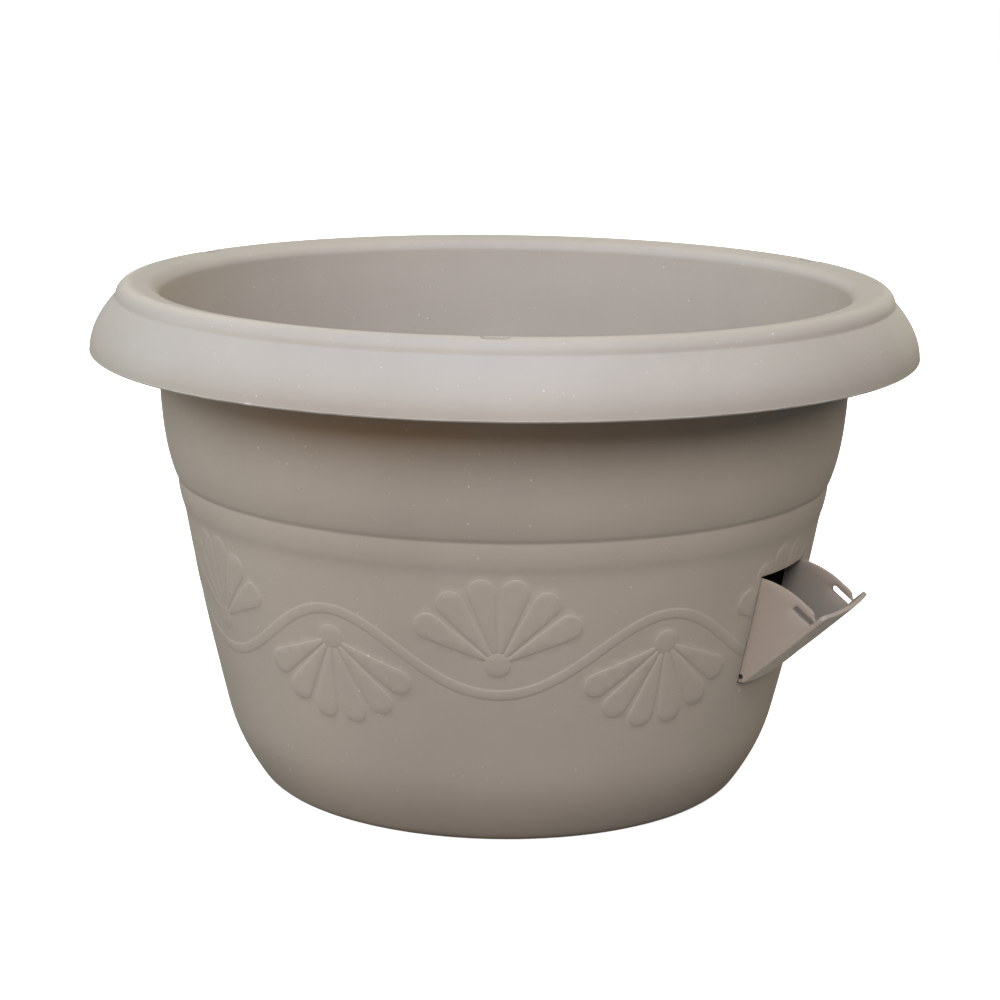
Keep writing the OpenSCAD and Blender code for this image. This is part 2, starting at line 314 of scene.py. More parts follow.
def tidy(part):
    """Welds slivers and sets smooth shading with sharp edges."""
    weld = 1e-6
    bm = bmesh.new()
    bm.from_mesh(part.data)
    bmesh.ops.remove_doubles(bm, verts=bm.verts, dist=weld)
    bmesh.ops.dissolve_degenerate(bm, dist=weld, edges=bm.edges)
    loose = [v for v in bm.verts if not v.link_faces]
    bmesh.ops.delete(bm, geom=loose, context="VERTS")
    bm.to_mesh(part.data)
    bm.free()
    part.data.shade_smooth()
    part.data.set_sharp_from_angle(angle=math.radians(32))
    return part


def triangulate(points, edges):
    """Constrained triangulation of 2D points: the new points and the triangles."""
    verts, _, faces, _, _, _ = geometry.delaunay_2d_cdt(
        [Vector(p) for p in points], edges, [], 0, 1e-5)
    return np.array([(p[0], p[1]) for p in verts]), [list(f) for f in faces]


def inside(points, loop):
    """Which points lie inside a closed loop."""
    x, y = points[:, 0], points[:, 1]
    result = np.zeros(len(points), bool)
    for i in range(len(loop)):
        x1, y1 = loop[i]
        x2, y2 = loop[(i + 1) % len(loop)]
        spans = (y1 > y) != (y2 > y)
        crossing = (x2 - x1) * (y - y1) / (y2 - y1 + 1e-30) + x1
        result ^= spans & (x < crossing)
    return result


def loop_normals(loop):
    """Outward miter normals of a counter-clockwise loop."""
    along = np.roll(loop, -1, 0) - loop
    length = np.hypot(along[:, 0], along[:, 1])[:, None]
    along = along / np.maximum(length, 1e-9)
    normal = np.stack([along[:, 1], -along[:, 0]], 1)
    miter = normal + np.roll(normal, 1, 0)
    miter /= np.maximum(np.hypot(miter[:, 0], miter[:, 1])[:, None], 1e-9)
    return miter / np.maximum((miter * normal).sum(1), 0.5)[:, None]


def resample(loop, spacing):
    """Divides the sides of a loop, with a few microns of bow so no three points are in line."""
    out = []
    for i in range(len(loop)):
        start, end = np.array(loop[i]), np.array(loop[(i + 1) % len(loop)])
        k = max(1, int(np.linalg.norm(end - start) / spacing))
        along = end - start
        normal = np.array([along[1], -along[0]]) / max(np.linalg.norm(along), 1e-9)
        out += [tuple(start + along * j / k + normal * 0.006 * math.sin(math.pi * j / k))
                for j in range(k)]
    return out


def round_corners(loop, radius, min_turn, count=5):
    """Rounds every corner of a counter-clockwise loop that turns by min_turn degrees or more."""
    points = [np.array(p, float) for p in loop]
    out = []
    for i, corner in enumerate(points):
        back, ahead = points[i - 1] - corner, points[(i + 1) % len(points)] - corner
        back_length, ahead_length = np.linalg.norm(back), np.linalg.norm(ahead)
        back, ahead = back / back_length, ahead / ahead_length
        turn = math.degrees(math.acos(np.clip(-(back @ ahead), -1, 1)))
        if turn < min_turn:
            out.append(tuple(corner))
            continue
        cut = min(radius * math.tan(math.radians(turn / 2)),
                  0.45 * back_length, 0.45 * ahead_length)
        start, end = corner + back * cut, corner + ahead * cut
        for t in np.linspace(0, 1, count):
            out.append(tuple((1 - t) ** 2 * start + 2 * t * (1 - t) * corner + t * t * end))
    return out


def plate(name, outline, place, thick, bevel, spacing, lines=(), height=None):
    """A plate with rounded edges from a counter-clockwise outline in (u, v).
    place(u, v, depth) gives the point at a depth, from 0 at the back to thick at the front.
    lines and height give the front its raised pattern."""
    verts, faces = [], []
    outline = np.asarray(outline, float)
    normals = loop_normals(outline)
    count = len(outline)

    def add(points, depth):
        start = len(verts)
        verts.extend(place(points[:, 0], points[:, 1], depth).tolist())
        return start

    turns = np.linspace(0, math.pi / 2, 3)
    edge = [(bevel * (1 - math.sin(t)), thick - bevel * (1 - math.cos(t))) for t in turns]
    edge += [(bevel * (1 - math.sin(t)), bevel * (1 - math.cos(t))) for t in turns[::-1]]
    before = None
    for inset, depth in edge:
        start = add(outline - normals * inset, depth)
        if before is not None:
            faces += bridge(before, start, count)
        before = start

    border = outline - normals * bevel
    lo, hi = border.min(0), border.max(0)
    columns = max(1, int((hi[0] - lo[0]) / spacing))
    rows = max(1, int((hi[1] - lo[1]) / spacing))
    grid = np.array([(lo[0] + (hi[0] - lo[0]) * (i + 0.5 * (j % 2)) / columns,
                      lo[1] + (hi[1] - lo[1]) * j / rows)
                     for j in range(rows + 1) for i in range(columns + 1)])
    grid = grid[inside(grid, outline - normals * (bevel + 0.3 * spacing))]
    for front in (True, False):
        points = [tuple(p) for p in border]
        edges = [(i, (i + 1) % count) for i in range(count)]
        for line in lines if front else ():
            kept = inside(line, outline - normals * (bevel + 0.5))
            for i in range(len(line) - 1):
                if kept[i] and kept[i + 1]:
                    edges.append((len(points), len(points) + 1))
                    points += [tuple(line[i]), tuple(line[i + 1])]
        points += [tuple(p) for p in grid]
        points, triangles = triangulate(points, edges)
        centres = np.array([points[t].mean(0) for t in triangles])
        depth = thick if front else 0.0
        if front and height is not None:
            depth = depth + height(points[:, 0], points[:, 1])
        start = add(points, depth)
        for triangle, kept in zip(triangles, inside(centres, border)):
            if kept:
                faces.append(tuple(start + i for i in (triangle if front else triangle[::-1])))
    return make(name, verts, faces)


def punch(name, loop, place, thick, ease):
    """Cutter for a hole through a plate, flared at both faces to ease the edges of the hole."""
    loop = np.asarray(loop, float)
    normals = loop_normals(loop)
    count = len(loop)
    # (depth, outward growth)
    half = ((-2.0, ease + 0.05), (-0.02, ease + 0.05), (0.35 * ease, 0.35 * ease),
            (1.1 * ease, 0.0))
    verts, faces = [], []
    before = None
    for depth, grow in half + tuple((thick - depth, grow) for depth, grow in half[::-1]):
        ring = loop + normals * grow
        start = len(verts)
        verts.extend(place(ring[:, 0], ring[:, 1], depth).tolist())
        if before is None:
            faces.append(tuple(range(start, start + count))[::-1])
        else:
            faces += bridge(before, start, count)
        before = start
    faces.append(tuple(range(before, before + count)))
    return make(name, verts, faces, weld=1e-9)


def heading(points):
    """Turns points from the flap's own frame, where it faces +X, to its place on the bowl."""
    cosine, sine = math.cos(HEADING), math.sin(HEADING)
    points = np.asarray(points, float)
    x, y = points[..., 0], points[..., 1]
    return np.stack([x * cosine - y * sine, x * sine + y * cosine, points[..., 2]], -1)


def swing(points):
    """Opens the flap about its hinge."""
    cosine, sine = math.cos(math.radians(OPEN_ANGLE)), math.sin(math.radians(OPEN_ANGLE))
    x, z = points[..., 0] - HINGE_X, points[..., 2] - HINGE_Z
    return np.stack([HINGE_X + x * cosine + z * sine, points[..., 1],
                     HINGE_Z - x * sine + z * cosine], -1)


def shut(x, z):
    """Where a point of the open flap lies when it is shut."""
    cosine, sine = math.cos(math.radians(OPEN_ANGLE)), math.sin(math.radians(OPEN_ANGLE))
    x, z = x - HINGE_X, z - HINGE_Z
    return (HINGE_X + x * cosine - z * sine, HINGE_Z + x * sine + z * cosine)


def hinge_cylinders(spans, count):
    """Cutter of cylinders on the hinge line, each given as (radius, start, end)."""
    verts, faces = [], []
    for radius, start_y, end_y in spans:
        start = len(verts)
        for y in (start_y, end_y):
            for i in range(count):
                t = 2 * math.pi * i / count
                verts.append(tuple(heading([HINGE_X + radius * math.cos(t), y,
                                            HINGE_Z + radius * math.sin(t)])))
        faces += bridge(start, start + count, count)
        faces += [tuple(range(start, start + count)),
                  tuple(range(start + count, start + 2 * count))[::-1]]
    return make("bore", verts, faces, weld=1e-9)


# ---------------------------------------------------------------- bowl
SEGMENTS = 360
SEAM_LO, SEAM_HI = -165.0, 195.0           # phi where the patterned band is joined
BAND_LO, BAND_HI = 42.0, 102.4             # heights of the patterned band
ARC_PER_DEGREE = math.radians(1) * 110     # lays the band out flat for triangulation


def foot_profile():
    """(radius, height) from the middle of the underside to the foot of the patterned band."""
    rows = [(0, 1.2), (30, 1.2), (60, 1.2), (76.4, 1.2), (77.2, 1.1), (78.3, 0.25),
            (79.0, 0.0), (83, 0.0), (86.6, 0.0)]
    heights = (0.12, 0.5, 1.0, 1.6, 2.4, 3.4, 4.8, 6.6, 8.8, 11.4, 14.4, 17.8, 21.6, 25.8,
               30, 34, 38, BAND_LO)
    return rows + [(float(outer(z)), z) for z in heights]


def upper_profile():
    """(radius, height) from the top of the band, over the rim and down inside to the middle."""
    rows = [(float(outer(z)) - DIP * share, z) for z, share in ((BAND_HI, 1), (103.3, 0.45))]
    rows += [(float(outer(z)), z) for z in (
        104.4, 105.6, 107, 108.6, 110.2, 111.3, 112.0, 112.35, 112.6, 112.85, 113.1, 113.4,
        113.7, 114.0, 114.4)]
    for i in range(1, 15):
        z = FILLET_Z1 + (176 - FILLET_Z1) * (i / 14) ** 1.3
        rows.append((float(outer(z)) + 1.2 * max(0, (z - 150) / 26) ** 2, z))
    # under the rim and down the back of the skirt
    rows += arc(131.6, 176, 4.5, 4.1, 176, 95, 7) + arc(135.1, 176.4, 3.75, 4.3, 90, 8, 7)
    rows += [(float(skirt(z)) - 2.1, z) for z in np.linspace(176, SKIRT_Z + 1.0, 8)]
    rows += arc(SKIRT_R - 1.05, SKIRT_Z + 0.5, 1.05, 0.75, 185, 355, 9)
    # a fine burr along the lower edge
    rows += [(SKIRT_R + 0.04, SKIRT_Z + 0.47), (SKIRT_R + 0.05, SKIRT_Z + 0.55),
             (SKIRT_R + 0.01, SKIRT_Z + 0.72)]
    # up the skirt, over a small step and across the crown
    rows += [(float(skirt(z)), z) for z in np.linspace(SKIRT_Z + 1.0, SKIRT_TOP - 0.5, 15)]
    rows += [(140.98, 177.45), (140.72, 177.75), (140.62, 178.1)]
    rows += arc(CROWN_R, SKIRT_TOP, CROWN_ROUND, CROWN_Z - SKIRT_TOP, 12, 90, 14)
    rows += [(radius, crown(radius)) for radius in (
        135.2, 134.9, 134.5, 134.1, 133.7, 133.2, 132.4, 131.5, 130.4)]
    rows += arc(130.6, 177.4, 5.5, CROWN_Z - 178.3, 104, 176, 14)
    # down the inside
    rows += [(float(inner(z)), z) for z in (
        174, 171, 167, 162, 156, 150, 143, 136, 130, 124, 119, 115.5, 113.6)]
    rows += [(float(inner(CREASE_Z)) - 0.05, CREASE_Z), (float(inner(111.4)), 111.4)]
    for z in (108.5, 105.5, 102.5, 100, 97, 93.5, 88, 82, 76, 70, 64, 58, 52, 46, 40, 35, 30,
              25.6, 21.4, 17.6, 14.2, 11.2, 8.6, 6.4, 4.8):
        rows.append((float(inner(z)) - (0.25 * (1 - z / 30) ** 2 if z < 30 else 0), z))
    # into the floor
    rows += [(float(inner(3.4)) - 1.3, 3.3), (float(inner(2.8)) - 2.6, 2.55),
             (float(inner(2.5)) - 5, FLOOR_TOP)]
    return rows + [(radius, FLOOR_TOP) for radius in (70, 50, 30, 0)]


def add_revolved(verts, faces, rows):
    """Turns rows of (radius, height) about Z; a row of radius 0 is a single point."""
    angles = np.radians(SEAM_LO + np.arange(SEGMENTS))
    before = None
    for radius, z in rows:
        start = len(verts)
        if radius == 0:
            verts.append((0, 0, z))
        else:
            verts += [(radius * math.sin(t), -radius * math.cos(t), z) for t in angles]
        if before is not None:
            if before_radius == 0:
                faces += [(before, start + (i + 1) % SEGMENTS, start + i)
                          for i in range(SEGMENTS)]
            elif radius == 0:
                faces += fan(before, start, SEGMENTS)
            else:
                faces += bridge(before, start, SEGMENTS)
        before, before_radius = start, radius


def band_layout():
    """Flat points and edges of the patterned band."""
    points, edges = [], []

    def add_line(line):
        start = len(points)
        points.extend((phi * ARC_PER_DEGREE, z) for phi, z in line)
        edges.extend((start + i, start + i + 1) for i in range(len(line) - 1))

    ribbon_z = [float(wave_z(SEAM_LO) + offset * SLANT / math.sqrt(1 + wave_slope(SEAM_LO) ** 2))
                for offset in RIBBON_LINES]
    seam = sorted([z for z in np.linspace(BAND_LO, BAND_HI, 25)
                   if min(abs(z - other) for other in ribbon_z) > 0.5] + ribbon_z)
    for phi in (SEAM_LO, SEAM_HI):
        add_line([(phi, z) for z in seam])
    for z in (BAND_LO, BAND_HI):
        add_line([(SEAM_LO + i, z) for i in range(SEGMENTS + 1)])

    for line in pattern_lines(SEAM_LO, SEAM_HI):
        line = np.asarray(line)
        phi = line[:, 0]
        if (phi < SEAM_LO + 1e-6).any() or (phi > SEAM_HI - 1e-6).any():
            # a fan's outline that crosses the seam is left out; it has far fewer points
            if len(line) <= 300:
                continue
            # ribbon lines end on the seam itself
            z_lo = np.interp(SEAM_LO, phi, line[:, 1])
            end_z = min(ribbon_z, key=lambda z: abs(z - z_lo))
            middle = line[(phi > SEAM_LO + 0.3) & (phi < SEAM_HI - 0.3)]
            line = np.vstack([[SEAM_LO, end_z], middle, [SEAM_HI, end_z]])
        add_line(line)

    # frames round the filler opening, where the pattern fades out
    for margin in (0.35, 0.75, 1.15):
        half = OPENING_HALF + margin
        low, high = OPENING_SILL - margin, OPENING_HEAD + margin
        line = [(x, low) for x in np.linspace(-half, half, 24)]
        line += [(half, z) for z in np.linspace(low, high, 27)[1:]]
        line += [(x, high) for x in np.linspace(half, -half, 24)[1:]]
        line += [(-half, z) for z in np.linspace(high, low, 27)[1:]]
        add_line([(FLAP_PHI + math.degrees(math.asin(x / float(outer(z)))), z)
                  for x, z in line])

    # staggered points over the plain areas
    columns, rows = 288, 25
    grid = np.array([(SEAM_LO + (SEAM_HI - SEAM_LO) * (i + 0.5 * (j % 2)) / columns,
                      BAND_LO + (BAND_HI - BAND_LO) * j / rows)
                     for j in range(1, rows) for i in range(columns)])
    phi, z = grid[:, 0], grid[:, 1]
    up, down = fan_distances(phi, z)
    to_ribbon = np.abs(z - wave_z(phi)) / np.sqrt(1 + wave_slope(phi) ** 2)
    plain = ((np.minimum(np.abs(up), np.abs(down)) > 1.0) & (to_ribbon > 2.9)
             & (phi > SEAM_LO + 0.6) & (phi < SEAM_HI - 0.6))
    points += [(phi * ARC_PER_DEGREE, z) for phi, z in grid[plain]]
    return points, edges


def add_band(verts, faces):
    """The patterned band, triangulated along the pattern's edges."""
    points, triangles = triangulate(*band_layout())
    phi, z = points[:, 0] / ARC_PER_DEGREE, points[:, 1]
    # the pattern stops just short of the filler opening, whose edge is plain
    across = np.sin(np.radians(phi - FLAP_PHI)) * outer(z)
    clear = np.maximum(np.abs(across) - OPENING_HALF,
                       np.maximum(OPENING_SILL - z, z - OPENING_HEAD))
    clear = np.where(np.abs(phi - FLAP_PHI) < 60, clear, 9.0)
    raised = (relief(phi, z) * step((z - BAND_LO) / 1.0) * step((BAND_HI - z) / 0.8)
              * step((clear - 0.35) / 0.8))
    radius = outer(z) + raised - DIP * np.clip((z - BAND_HI + 2.0) / 2.0, 0, 1) ** 2
    angle = np.radians(phi)
    start = len(verts)
    verts += np.stack([radius * np.sin(angle), -radius * np.cos(angle), z], 1).tolist()
    faces += [tuple(start + i for i in triangle) for triangle in triangles]


def opening_rings():
    """Rings of the cutter for the filler opening, from outside the wall to inside it."""
    rings = []
    # (distance out from the wall's outer face, growth that eases the edge)
    for out, ease in ((2.5, 0.30), (0.05, 0.30), (-0.05, 0.13), (-0.28, 0.0), (-1.72, 0.0),
                      (-2.06, 0.3), (-4.5, 0.3)):
        def on_wall(y, z):
            return (math.sqrt((float(outer(z)) + out) ** 2 - y * y), y, z)

        def head(y):
            """Height where the wall meets the arc about the hinge, found by iteration."""
            z = OPENING_HEAD
            for _ in range(4):
                x = on_wall(y, z)[0]
                z = HINGE_Z + math.sqrt(OPENING_ARC * OPENING_ARC - (x - HINGE_X) ** 2) + ease
            return z

        half, sill = OPENING_HALF + ease, OPENING_SILL - ease
        ring = [on_wall(y, sill) for y in np.linspace(-half, half, 25)]
        ring += [on_wall(half, z) for z in np.linspace(sill, head(half), 21)[1:]]
        ring += [on_wall(y, head(y)) for y in np.linspace(half, -half, 25)[1:]]
        ring += [on_wall(-half, z) for z in np.linspace(head(-half), sill, 21)[1:-1]]
        rings.append(heading(ring))
    return rings


def hanger_slot_rings(turn):
    """Rings of the cutter for one slot in the crown, from above downwards."""
    slot_length, slot_width, slot_r = 10, 4.6, 135.3
    cosine, sine = math.cos(turn), math.sin(turn)
    rings = []
    # (height over the crown, growth that eases the edge, level height that replaces the first)
    for over, ease, level in ((6, 0.16, None), (0.04, 0.16, None), (-0.05, 0.05, None),
                              (-0.16, 0.0, None), (0, 0.0, 181.0), (0, 0, 172.0)):
        length, width = slot_length + 2 * ease, slot_width + 2 * ease
        ring = []
        for t in np.linspace(0, 2 * math.pi, 33)[:-1]:
            end = 1 if math.cos(t) > 0 else -1
            x = (length - width) / 2 * end + width / 2 * math.cos(t)
            out = slot_r + width / 2 * math.sin(t)
            z = level if level else crown(math.hypot(out, x)) + over
            ring.append((x * cosine + out * sine, x * sine - out * cosine, z))
        rings.append(ring)
    return rings


def build_bowl():
    verts, faces = [], []
    add_revolved(verts, faces, foot_profile())
    add_revolved(verts, faces, upper_profile())
    add_band(verts, faces)
    bowl = make("pot_shell_moulded", verts, faces, weld=3e-6)

    verts, faces = [], []
    add_loft(verts, faces, opening_rings())
    for k in range(3):
        add_loft(verts, faces, hanger_slot_rings(math.radians(120 * k - 0.7)))
    boolean(bowl, make("cutter", verts, faces, weld=1e-9), "DIFFERENCE")

    # ears for the pins
    ear = arc(HINGE_X, HINGE_Z, 1.75, 1.75, -100, 130, 20)
    ear += [(104.4, 55.5), (102.9, 52), (102.9, 47.4), (103.4, 47), (105.5, 47), (105.9, 47.4),
            (105.9, 51.4)]
    for ear_y in (-15.4, 11.4):
        def place(u, v, depth):
            return heading(np.stack([u, ear_y + depth + 0 * u, v], -1))

        boolean(bowl, plate("ear", ear, place, thick=4.0, bevel=0.25, spacing=3), "UNION")
    boolean(bowl, hinge_cylinders([(0.9, 12.0, 15.6), (0.9, -15.6, -12.0)], 32), "DIFFERENCE")
    return tidy(bowl)


# ---------------------------------------------------------------- flap
PANEL_THICK, PANEL_TOP, PANEL_HALF = 1.7, 93.0, 17.35
PANEL_FOOT = HINGE_Z - 1.3
TAB_HALF = 20.8                            # reach of the thumb tab from the middle


def panel_outline():
    """(across, height) of the shut panel, counter-clockwise from the lower left."""
    outline = [(-PANEL_HALF, PANEL_FOOT), (PANEL_HALF, PANEL_FOOT), (PANEL_HALF, PANEL_TOP - 13)]
    # thumb tab at one top corner, running in with a soft curve
    outline += [(PANEL_HALF + (TAB_HALF - PANEL_HALF) * float(step(t)) * 0.96,
                 PANEL_TOP - 13 + 10.6 * t) for t in np.linspace(0.15, 1, 8)]
    outline += arc(TAB_HALF - 1.2, PANEL_TOP - 1.2, 1.2, 1.2, 0, 90, 6)
    outline += arc(-PANEL_HALF + 2, PANEL_TOP - 2, 2, 2, 90, 180, 8)
    return resample(round_corners(outline, radius=0.8, min_turn=60), 1.2)


def build_panel():
    def place(u, v, depth):
        radius = outer(v) + FLAP_GAP + depth
        x = np.sqrt(np.maximum(radius * radius - u * u, 0))
        return heading(swing(np.stack([x, u, v], -1)))

    # the bowl's pattern carries on across the panel; lines of 20 points or fewer are left out
    lines = []
    for line in pattern_lines(FLAP_PHI - 16, FLAP_PHI + 16):
        if len(line) > 20:
            phi, z = np.asarray(line).T
            lines.append(np.stack([np.sin(np.radians(phi - FLAP_PHI)) * outer(z), z], 1))

    def height(u, v):
        phi = FLAP_PHI + np.degrees(np.arcsin(np.clip(u / outer(v), -1, 1)))
        fade = (step((PANEL_HALF - np.abs(u) - 0.8) / 0.8) * step((PANEL_TOP - v - 0.8) / 0.8)
                * step((v - PANEL_FOOT - 0.8) / 0.8))
        return relief(phi, v) * fade

    return plate("filler_flap_moulded", panel_outline(), place, thick=PANEL_THICK, bevel=0.3,
                 spacing=2.2, lines=lines, height=height)


def cheek_reach(angle):
    """Radius of a cheek's top edge about the hinge, at degrees from upright, with a snap hump."""
    hump = 0.25 * math.sin(math.radians((angle - 2.5) / 7.7 * 180)) if 2.5 < angle < 10.2 else 0
    return (36.6 + 0.5 * min(1, max(0, (angle + 28) / 22)) + hump
            - 0.9 * float(step((angle - 8.8) / 2.8)))


def in_panel(z):
    """How far out a cheek runs, so that it ends within the panel."""
    return float(np.sqrt((outer(z) + FLAP_GAP + 0.9) ** 2 - 16.4 ** 2))


def cheek_outline():
    outline = arc(HINGE_X, HINGE_Z, 2.2, 2.2, -150, -30, 9)
    outline += [(in_panel(z), z) for z in (55.5, 62, 69, 76, 83)]
    top = []
    for angle in list(np.linspace(15, 7, 17)) + list(np.linspace(5.5, -32, 26)):
        x = HINGE_X + cheek_reach(angle) * math.sin(math.radians(angle))
        z = HINGE_Z + cheek_reach(angle) * math.cos(math.radians(angle))
        if x < in_panel(z) - 0.9:
            top.append((x, z))
    z = top[0][1] - 0.35
    outline += [(in_panel(z), z)] + top
    outline += [shut(HINGE_X + 1.5, HINGE_Z + 36.2), shut(102.2, HINGE_Z + 1.5)]
    return resample(round_corners(outline, radius=0.7, min_turn=30, count=4), 1.6)


def build_flap():
    flap = build_panel()
    cheek = cheek_outline()
    # slot beside the snap hump; it runs up to the panel
    slot = arc(107.3, 87.8, 1.1, 1.1, 90, 270, 13)
    slot += [(110, 86.7), (114, 86.7), (117.5, 86.7), (117.5, 88.9), (114, 88.9), (110, 88.9)]
    thick = 1.6
    for cheek_y in (-17.2, 15.6):
        def place_cheek(u, v, depth):
            return heading(swing(np.stack([u, cheek_y + depth + 0 * u, v], -1)))

        part = plate("cheek", cheek, place_cheek, thick=thick, bevel=0.28, spacing=4)
        boolean(part, punch("slot", slot, place_cheek, thick=thick, ease=0.25), "DIFFERENCE")
        boolean(flap, part, "UNION")

    # stop ribs behind the wall, placed with the flap open
    rib_thick = 2.2

    def place_rib(u, v, depth):
        radius = outer(v) - WALL - 0.08 - rib_thick + depth
        return heading(np.stack([np.sqrt(radius * radius - u * u), u, v], -1))

    for start, end in ((16.3, 19.3), (-19.3, -16.3)):
        rib = [(start, 66.0), (end, 66.0), (end, 84.0), (start, 84.0)]
        rib = resample(round_corners(rib, radius=0.8, min_turn=60), 1.6)
        boolean(flap, plate("rib", rib, place_rib, thick=rib_thick, bevel=0.2, spacing=4),
                "UNION")

    # bores for the pins and room for the ears
    for span in ((0.96, -30, -15), (0.96, 15, 30), (2.0, 11.1, 15.75), (2.0, -15.75, -11.1)):
        boolean(flap, hinge_cylinders([span], 40), "DIFFERENCE")
    return tidy(flap)


# ---------------------------------------------------------------- wicks
def build_wick(name, node, sign):
    """A slightly uneven felt strip that hangs down and turns in along the floor."""
    lo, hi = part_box(node)
    thick, width, bend = 3.0, 22.0, 7
    wick_x = sign * 34.0
    # centre line (x, z), from the top down and along the floor towards the middle
    top, bottom = hi[2] / MM - 0.4, lo[2] / MM + thick / 2
    path = [(wick_x, z) for z in np.linspace(top, bottom + bend, 40)]
    for t in np.radians(np.linspace(0, 90, 9)[1:]):
        path.append((wick_x - sign * bend * (1 - math.cos(t)),
                     bottom + bend - bend * math.sin(t)))
    path += [(wick_x - sign * x, bottom) for x in np.linspace(8.5, 20.5, 10)]
    path = np.array(path)
    along = np.gradient(path, axis=0)
    along /= np.linalg.norm(along, axis=1)[:, None]
    normals = np.stack([-along[:, 1], along[:, 0]], 1)
    steps = np.linalg.norm(np.diff(path, axis=0), axis=1)
    lengths = np.concatenate([[0], np.cumsum(steps)])

    # flat section with rounded edges
    count = 44
    section = []
    for i in range(count):
        t = 2 * math.pi * i / count
        cosine, sine = math.cos(t), math.sin(t)
        section.append(((thick / 2 - 0.05) * (abs(sine) ** 0.45) * (1 if sine > 0 else -1),
                        (width / 2) * (abs(cosine) ** 0.28) * (1 if cosine > 0 else -1)))
    verts, faces = [], []
    for point, normal, run in zip(path, normals, lengths):
        for x, y in section:
            swell = (math.sin(run * 0.31 + y * 0.22 + sign) * 0.06
                     + math.sin(run * 1.7 + y * 0.9) * 0.04)
            off = x * (1 + swell * 0.6) + 0.05 * math.sin(run * 0.12 + sign * 2)
            across = y * (1 - 0.006 + 0.006 * math.sin(run * 0.8 + sign))
            verts.append((point[0] + normal[0] * off, across, point[1] + normal[1] * off))
    last = (len(path) - 1) * count
    for start in range(0, last, count):
        faces += bridge(start, start + count, count)
    for start in (0, last):
        verts.append(tuple(np.mean(verts[start:start + count], 0)))
        faces += fan(start, len(verts) - 1, count)
    wick = make(name, verts, faces)
    wick.data.shade_smooth()
    return wick


# ---------------------------------------------------------------- materials
class Mat:
    """A node material with a Principled shader and short calls for its nodes."""

    def __init__(self, name):
        self.material = bpy.data.materials.new(name)
        self.material.use_nodes = True
        self.tree = self.material.node_tree
        self.tree.nodes.clear()
        self.output = self.node("ShaderNodeOutputMaterial")
        self.shader = self.node("ShaderNodeBsdfPrincipled")
        self.link(self.shader.outputs[0], self.output.inputs[0])
        self.coords = self.node("ShaderNodeTexCoord").outputs["Object"]

    def node(self, kind, **settings):
        node = self.tree.nodes.new(kind)
        for key, value in settings.items():
            setattr(node, key, value)
        return node

    def link(self, source, target):
        self.tree.links.new(source, target)

    def feed(self, socket, value):
        """Sets a socket to a number or a colour, or links it."""
        if isinstance(value, (int, float)):
            socket.default_value = value
        elif isinstance(value, tuple):
            socket.default_value = (*value, 1)
        else:
            self.link(value, socket)

    def set(self, **inputs):
        """Feeds the shader's inputs; an underscore in a name stands for a space."""
        for key, value in inputs.items():
            self.feed(self.shader.inputs[key.replace("_", " ")], value)

    def noise(self, scale, detail=4, rough=0.55, stretch=None, distort=0):
        coords = self.coords
        if stretch:
            mapping = self.node("ShaderNodeMapping")
            mapping.inputs["Scale"].default_value = stretch
            self.link(coords, mapping.inputs["Vector"])
            coords = mapping.outputs[0]
        node = self.node("ShaderNodeTexNoise")
        node.inputs["Scale"].default_value = scale
        node.inputs["Detail"].default_value = detail
        node.inputs["Roughness"].default_value = rough
        node.inputs["Distortion"].default_value = distort
        self.link(coords, node.inputs["Vector"])
        return node.outputs["Fac"]

    def ramp(self, factor, start, end, low=0.0, high=1.0):
        """Grey that runs from low to high as the factor goes from start to end."""
        node = self.node("ShaderNodeValToRGB")
        for stop, place, grey in zip(node.color_ramp.elements, (start, end), (low, high)):
            stop.position = place
            stop.color = (grey, grey, grey, 1)
        self.link(factor, node.inputs[0])
        return node.outputs[0]

    def mix(self, factor, first, second):
        node = self.node("ShaderNodeMix", data_type="RGBA")
        for index, value in ((0, factor), (6, first), (7, second)):
            self.feed(node.inputs[index], value)
        return node.outputs[2]

    def math(self, operation, first, second, third=0.0, clamp=False):
        node = self.node("ShaderNodeMath", operation=operation, use_clamp=clamp)
        for socket, value in zip(node.inputs, (first, second, third)):
            self.feed(socket, value)
        return node.outputs[0]

    def times(self, first, second):
        return self.math("MULTIPLY", first, second)

    def tint(self, base, mask, strength, colour):
        """Lays a colour over the base where the mask is bright."""
        return self.mix(self.times(mask, strength), base, colour)

    def spread(self, factor, span, base):
        return self.math("ADD", self.times(factor, span), base)

    def vector(self, operation, source, other=None):
        node = self.node("ShaderNodeVectorMath", operation=operation)
        self.link(source, node.inputs[0])
        if other:
            node.inputs[1].default_value = other
        return node

    def bump(self, height, strength, distance, normal=None):
        node = self.node("ShaderNodeBump")
        node.inputs["Strength"].default_value = strength
        node.inputs["Distance"].default_value = distance
        self.link(height, node.inputs["Height"])
        if normal:
            self.link(normal, node.inputs["Normal"])
        return node.outputs[0]

    def specks(self, scale, share, size):
        """Small scattered dots: a share of the cells of a Voronoi pattern holds one."""
        cells = self.node("ShaderNodeTexVoronoi")
        cells.inputs["Scale"].default_value = scale
        self.link(self.coords, cells.inputs["Vector"])
        dot = self.math("LESS_THAN", cells.outputs["Distance"], size)
        channels = self.node("ShaderNodeSeparateColor")
        self.link(cells.outputs["Color"], channels.inputs[0])
        return self.times(dot, self.math("LESS_THAN", channels.outputs[0], share))


def shade(colour, factor):
    return tuple(min(1, c * factor) for c in colour)


